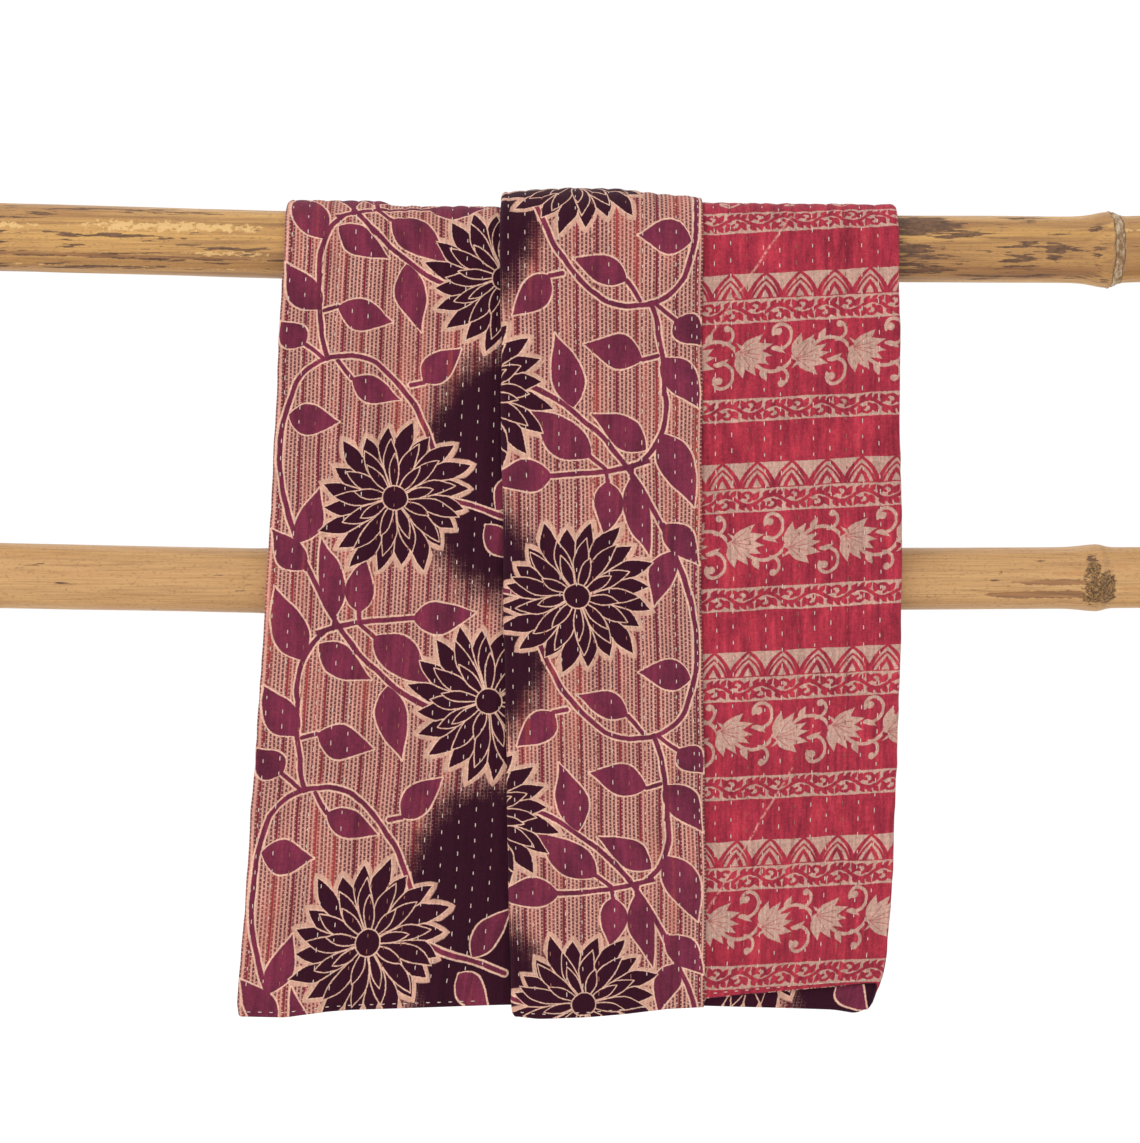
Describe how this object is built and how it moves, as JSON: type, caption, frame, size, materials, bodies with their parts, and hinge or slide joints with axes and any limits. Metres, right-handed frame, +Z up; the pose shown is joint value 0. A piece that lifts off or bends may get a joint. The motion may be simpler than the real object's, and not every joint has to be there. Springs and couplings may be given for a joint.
{
  "type": "quilt on a rack",
  "caption": "Hand-stitched reversible cotton quilt folded lengthwise and hung over the top rail of a free-standing bamboo rack.",
  "frame": {"origin": "on the floor under the middle of the rack", "axes": "+X along the rails, +Y from the front to the back, +Z up"},
  "size_m": [1.52, 0.52, 1.27],
  "materials": {
    "weathered_bamboo": "weathered, semi-matt, blotched and scarred",
    "bamboo": "smooth semi-matt natural skin",
    "rope": "rough laid natural fibre",
    "peg_wood": "cut, unfinished",
    "floral_cotton": "soft worn printed cotton with running stitch",
    "red_cotton": "soft worn printed cotton with running stitch"
  },
  "bodies": {
    "rack": {"top_rail": "weathered_bamboo", "lower_rail": "bamboo", "stretcher": "bamboo", "left_post": "bamboo", "left_foot": "bamboo", "left_foot_peg": "peg_wood", "top_left_peg": "peg_wood", "top_left_lashing": "rope", "lower_left_peg": "peg_wood", "lower_left_lashing": "rope", "stretcher_left_peg": "peg_wood", "stretcher_left_lashing": "rope", "right_post": "bamboo", "right_foot": "bamboo", "right_foot_peg": "peg_wood", "top_right_peg": "peg_wood", "top_right_lashing": "rope", "lower_right_peg": "peg_wood", "lower_right_lashing": "rope", "stretcher_right_peg": "peg_wood", "stretcher_right_lashing": "rope"},
    "quilt_saddle": {"saddle_under_fold": "floral_cotton", "saddle_turned_fold": "red_cotton", "saddle_top_fold": "floral_cotton"},
    "quilt_front_drop": {"front_under_fold": "floral_cotton", "front_turned_fold": "red_cotton", "front_top_fold": "floral_cotton"},
    "quilt_back_drop": {"back_under_fold": "floral_cotton", "back_turned_fold": "red_cotton", "back_top_fold": "floral_cotton"}
  },
  "joints": [
    {"name": "quilt_lift", "type": "slide", "parent": "rack", "child": "quilt_saddle", "axis": [0, 0, 1], "range_m": [0, 0.95]},
    {"name": "front_drop_swing", "type": "hinge", "parent": "quilt_saddle", "child": "quilt_front_drop", "pos_m": [0, -0.1293, 1.1556], "axis": [1, 0, 0], "range_deg": [-50, 0]},
    {"name": "back_drop_swing", "type": "hinge", "parent": "quilt_saddle", "child": "quilt_back_drop", "pos_m": [0, -0.0139, 1.1556], "axis": [1, 0, 0], "range_deg": [0, 50]}
  ]
}
